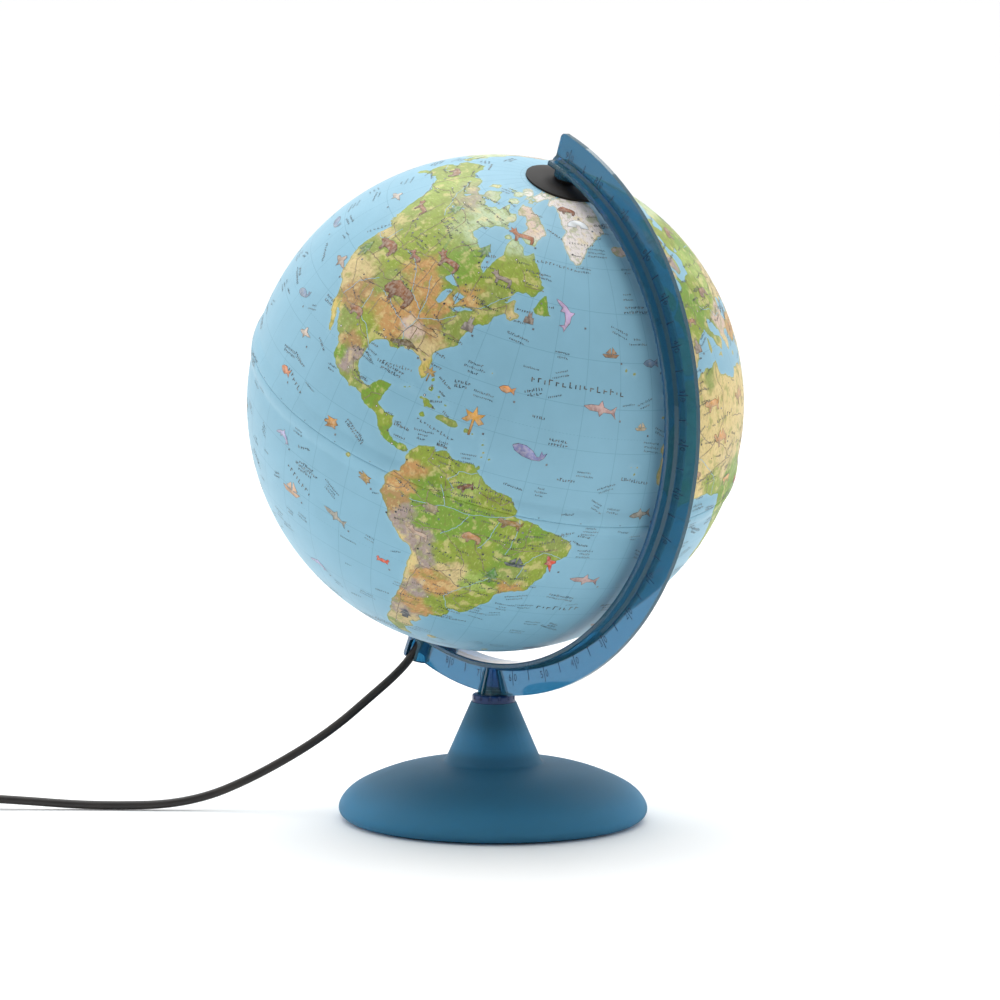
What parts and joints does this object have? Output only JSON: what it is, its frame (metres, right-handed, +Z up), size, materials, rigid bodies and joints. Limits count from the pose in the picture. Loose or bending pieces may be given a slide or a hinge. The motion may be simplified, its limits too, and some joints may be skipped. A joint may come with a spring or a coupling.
{
  "type": "desktop globe on stand",
  "caption": "Illuminated desk globe that spins on a tilted axis in a transparent meridian arm, on a round weighted foot, with a mains lead.",
  "frame": {"origin": "middle of the foot's underside, where the globe stands", "axes": "+Z up; the meridian arm lies in the XZ plane and the globe's north pole leans toward +X by 23.5 degrees; +Y completes a right-handed frame"},
  "size_m": [0.3983, 0.4172, 0.3504],
  "materials": {
    "frosted_shell": "translucent steel-blue plastic, finely frosted",
    "clear_blue": "transparent blue plastic, glossy",
    "globe_map": "printed map under a satin lacquer",
    "inner_white": "plain white moulding",
    "black_plastic": "dark brown-black moulding, satin",
    "dark_cover": "dark moulding, fine texture",
    "foam": "black closed-cell foam",
    "ballast_steel": "zinc-plated steel sheet",
    "screw_steel": "zinc-plated steel",
    "stem_steel": "nickel-plated tube",
    "washer_white": "natural nylon",
    "holder_white": "white thermoset, glossy",
    "contact_brass": "bright brass",
    "lamp_glass": "opal glass",
    "cord_black": "black PVC sheath, dull",
    "plug_black": "black moulded plug, satin",
    "pin_metal": "nickel-plated brass"
  },
  "bodies": {
    "stand": {"base_shell": "frosted_shell", "bottom_cover": "dark_cover", "foam_pad": "foam", "ballast_plate": "ballast_steel", "ballast_screw_1": "screw_steel", "ballast_screw_2": "screw_steel", "ballast_screw_3": "screw_steel", "foot_collar": "clear_blue", "arm_washer": "screw_steel", "arm_screw": "screw_steel", "meridian_arm": "clear_blue", "north_pin": "stem_steel", "north_washer": "washer_white", "south_washer": "washer_white", "lamp_stem": "stem_steel", "stem_nut": "screw_steel", "lamp_holder_dome": "holder_white", "lamp_holder_skirt": "holder_white", "holder_contacts": "contact_brass", "bulb_cap": "contact_brass", "bulb_glass": "lamp_glass", "cord_gland": "black_plastic", "cord_lead": "cord_black", "cord_to_coil": "cord_black", "cord_coil": "cord_black", "cord_tie": "black_plastic", "cord_tail": "cord_black", "plug_body": "plug_black", "plug_pin_1": "pin_metal", "plug_pin_2": "pin_metal", "switch_base": "plug_black", "switch_cover": "plug_black", "switch_screw_1": "screw_steel", "switch_screw_2": "screw_steel"},
    "globe": {"north_hemisphere": "globe_map", "south_hemisphere": "globe_map", "equator_ring": "inner_white", "north_cap": "black_plastic", "south_bush": "black_plastic"},
    "rocker": {"switch_rocker": "plug_black"}
  },
  "joints": [
    {"name": "globe_spin", "type": "hinge", "parent": "stand", "child": "globe", "pos_m": [0, 0, 0.212], "axis": [0.3987, 0, 0.9171], "continuous": true},
    {"name": "switch_rock", "type": "hinge", "parent": "stand", "child": "rocker", "pos_m": [-0.20138, -0.19823, 0.0112], "axis": [0.7455, -0.6665, 0], "range_deg": [0, 16]}
  ]
}
